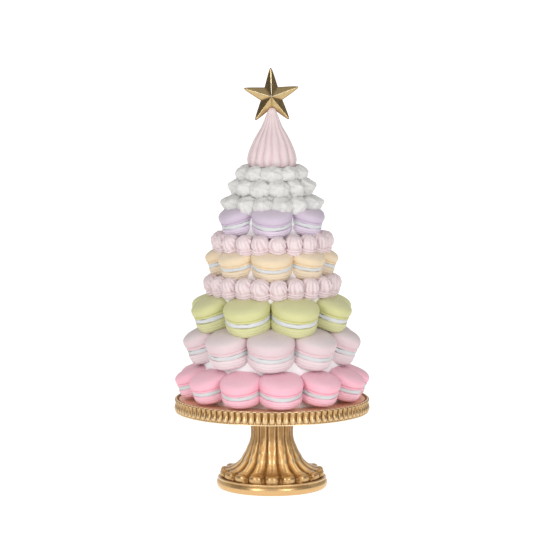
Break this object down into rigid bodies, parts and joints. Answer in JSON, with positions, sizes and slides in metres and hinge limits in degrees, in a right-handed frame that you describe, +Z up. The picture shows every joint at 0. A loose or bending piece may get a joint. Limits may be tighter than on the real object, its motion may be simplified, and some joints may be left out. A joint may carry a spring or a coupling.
{
  "type": "macaron tower",
  "caption": "Decorative macaron tower on a footed cake stand: tiers of macarons with piped rosettes and meringue kisses round an icing cone, with a star on top.",
  "frame": {"origin": "centre of the stand's foot on the table, at the bottom of the object", "axes": "+Z up along the tower, -Y to the front that the picture shows, +X to the right as seen from the front"},
  "size_m": [0.1956, 0.1958, 0.4205],
  "materials": {
    "stand_gold": "antique gold metallic paint over cast resin, brown in the recesses",
    "star_gold": "old gold metallic paint, dark in the folds",
    "white_icing": "off-white painted resin, satin",
    "pink_icing": "pale pink painted resin, satin, a little darker in the grooves",
    "meringue": "grey-white painted resin with fine glitter",
    "pink_shell": "strong pink painted resin, satin",
    "pale_shell": "pale pink painted resin, satin",
    "green_shell": "pistachio green painted resin, satin",
    "cream_shell": "warm cream painted resin, satin",
    "lavender_shell": "lavender painted resin, satin"
  },
  "bodies": {
    "root": {"stand_pedestal": "stand_gold", "stand_plate": "stand_gold", "icing_cone": "white_icing", "icing_peak": "pink_icing", "rosettes_lower": "pink_icing", "rosettes_upper": "pink_icing", "kisses_lower": "meringue", "kisses_middle": "meringue", "kisses_upper": "meringue", "star": "star_gold", "macaron_pink_01": "pink_shell", "macaron_pink_02": "pink_shell", "macaron_pink_03": "pink_shell", "macaron_pink_04": "pink_shell", "macaron_pink_05": "pink_shell", "macaron_pink_06": "pink_shell", "macaron_pink_07": "pink_shell", "macaron_pink_08": "pink_shell", "macaron_pink_09": "pink_shell", "macaron_pink_10": "pink_shell", "macaron_pink_11": "pink_shell", "macaron_pink_12": "pink_shell", "macaron_pale_01": "pale_shell", "macaron_pale_02": "pale_shell", "macaron_pale_03": "pale_shell", "macaron_pale_04": "pale_shell", "macaron_pale_05": "pale_shell", "macaron_pale_06": "pale_shell", "macaron_pale_07": "pale_shell", "macaron_pale_08": "pale_shell", "macaron_pale_09": "pale_shell", "macaron_green_01": "green_shell", "macaron_green_02": "green_shell", "macaron_green_03": "green_shell", "macaron_green_04": "green_shell", "macaron_green_05": "green_shell", "macaron_green_06": "green_shell", "macaron_green_07": "green_shell", "macaron_green_08": "green_shell", "macaron_cream_01": "cream_shell", "macaron_cream_02": "cream_shell", "macaron_cream_03": "cream_shell", "macaron_cream_04": "cream_shell", "macaron_cream_05": "cream_shell", "macaron_cream_06": "cream_shell", "macaron_cream_07": "cream_shell", "macaron_cream_08": "cream_shell", "macaron_lavender_01": "lavender_shell", "macaron_lavender_02": "lavender_shell", "macaron_lavender_03": "lavender_shell", "macaron_lavender_04": "lavender_shell", "macaron_lavender_05": "lavender_shell", "macaron_lavender_06": "lavender_shell"}
  },
  "joints": []
}
